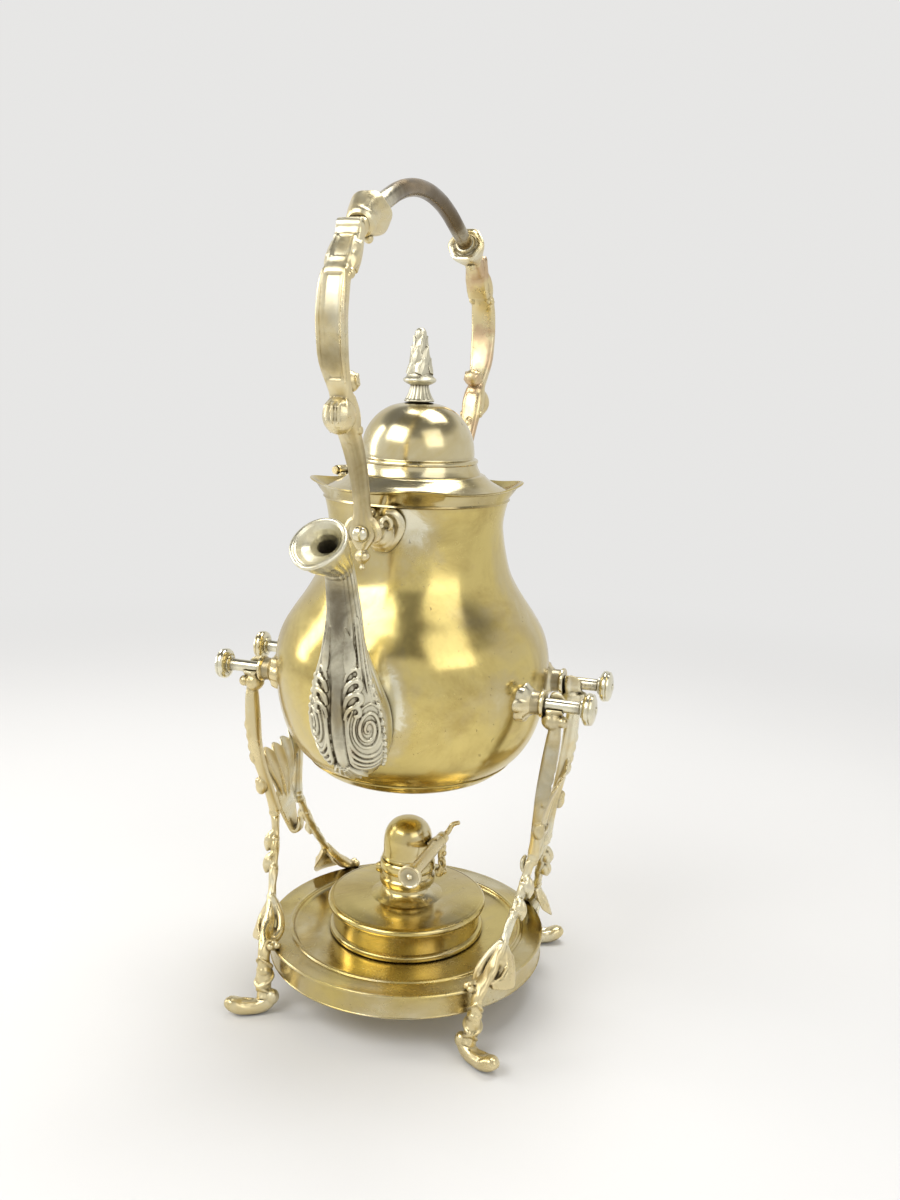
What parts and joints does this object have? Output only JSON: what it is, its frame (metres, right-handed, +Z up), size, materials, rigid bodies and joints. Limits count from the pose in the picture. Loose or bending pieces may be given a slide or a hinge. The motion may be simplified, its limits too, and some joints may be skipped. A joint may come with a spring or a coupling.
{
  "type": "spirit kettle on stand",
  "caption": "Footed spirit lamp stand carrying a tilting kettle with a curved spout, bail handle and hinged domed lid.",
  "frame": {"origin": "on the table, under the middle of the kettle and the base dish", "axes": "+Z up, -Y to the spout, X along the rods the kettle hangs by"},
  "size_m": [0.182, 0.213, 0.3728],
  "materials": {
    "worn_plate": "polished silver plate worn through to brass",
    "cast_plate": "cast brass with silver plate, dark in the recesses",
    "grip_bronze": "dark brown bronze bar, rubbed",
    "wick_cotton": "twisted cotton wick"
  },
  "bodies": {
    "stand": {"base_dish": "worn_plate", "side_frame_left": "cast_plate", "side_frame_right": "cast_plate", "frame_screw_front_left": "cast_plate", "frame_screw_rear_left": "cast_plate", "frame_screw_front_right": "cast_plate", "frame_screw_rear_right": "cast_plate"},
    "lamp": {"lamp_bowl": "worn_plate", "lamp_cover": "worn_plate", "lamp_neck": "worn_plate", "burner_collar": "worn_plate", "wick_tube": "worn_plate", "wick": "wick_cotton", "snuffer_bracket": "cast_plate"},
    "snuffer": {"snuffer_cap": "worn_plate", "snuffer_strap": "cast_plate", "snuffer_sleeve": "cast_plate", "snuffer_disc": "cast_plate", "snuffer_rod": "cast_plate"},
    "kettle": {"kettle_body": "worn_plate", "kettle_bottom": "worn_plate", "rim_collar": "worn_plate", "spout": "cast_plate", "spout_strainer": "worn_plate", "handle_lug_front": "cast_plate", "handle_lug_rear": "cast_plate", "handle_pin_front": "cast_plate", "handle_pin_rear": "cast_plate", "lid_hinge_kettle_leaf": "cast_plate", "lid_hinge_pin": "cast_plate", "pin_boss_front_left": "cast_plate", "pin_boss_rear_left": "cast_plate", "pin_boss_front_right": "cast_plate", "pin_boss_rear_right": "cast_plate", "hanging_pin_front_left": "cast_plate", "hanging_pin_rear_left": "cast_plate", "hanging_pin_front_right": "cast_plate", "hanging_pin_rear_right": "cast_plate"},
    "handle": {"handle_arm_front": "cast_plate", "handle_arm_rear": "cast_plate", "handle_ferrule_front": "cast_plate", "handle_ferrule_rear": "cast_plate", "handle_grip": "grip_bronze"},
    "lid": {"lid": "worn_plate", "lid_finial": "cast_plate", "finial_nut": "cast_plate", "lid_hinge_lid_leaf": "cast_plate"}
  },
  "joints": [
    {"name": "kettle_tilt", "type": "hinge", "parent": "stand", "child": "kettle", "pos_m": [0, -0.0189, 0.15462], "axis": [1, 0, 0], "range_deg": [0, 60]},
    {"name": "handle_swing", "type": "hinge", "parent": "kettle", "child": "handle", "pos_m": [0, 0, 0.2299], "axis": [0, 1, 0], "range_deg": [-80, 80]},
    {"name": "lid_hinge", "type": "hinge", "parent": "kettle", "child": "lid", "pos_m": [-0.04075, 0.019, 0.24621], "axis": [-0.4226, -0.9063, 0], "range_deg": [0, 100]},
    {"name": "snuffer_hinge", "type": "hinge", "parent": "lamp", "child": "snuffer", "pos_m": [0.0156, 0, 0.0735], "axis": [0, 1, 0], "range_deg": [0, 110]},
    {"name": "lamp_lift", "type": "slide", "parent": "stand", "child": "lamp", "axis": [0, 0, 1], "range_m": [0, 0.003]}
  ]
}
